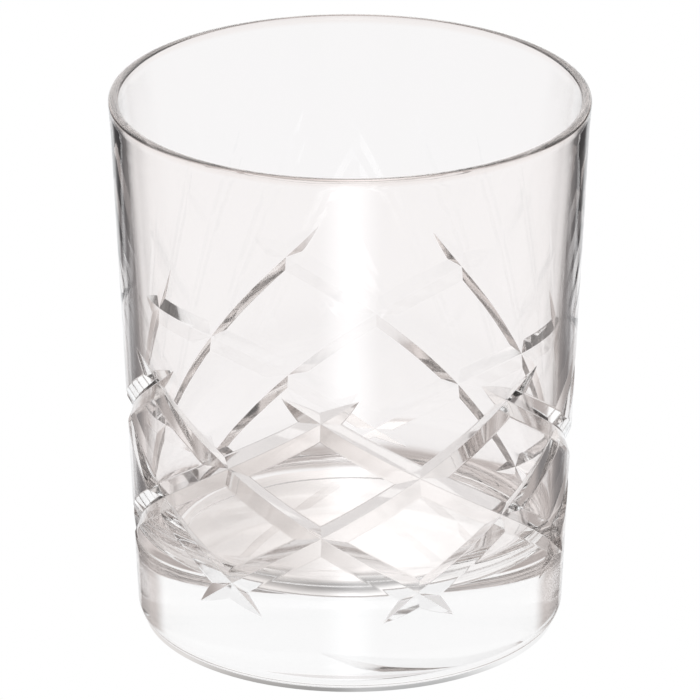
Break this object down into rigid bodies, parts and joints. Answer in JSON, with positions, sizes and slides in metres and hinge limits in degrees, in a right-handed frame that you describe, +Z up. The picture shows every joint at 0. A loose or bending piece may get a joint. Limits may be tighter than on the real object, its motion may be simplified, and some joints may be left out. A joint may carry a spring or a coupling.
{
  "type": "whiskey tumbler",
  "caption": "Short straight-sided tumbler in clear cut crystal, slightly tapered, with a thick solid base and a lattice of long diagonal V-section cuts.",
  "frame": {"origin": "centre of the underside, on the plane the tumbler stands on", "axes": "+Z up along the tumbler's axis, from the base to the mouth; +X and +Y lie in the standing plane, and -Y faces the view the cuts were set out from"},
  "size_m": [0.085, 0.085, 0.0982],
  "materials": {
    "crystal": "clear, fire-polished, with acid-polished cuts"
  },
  "bodies": {
    "root": {"tumbler_glass": "crystal"}
  },
  "joints": []
}
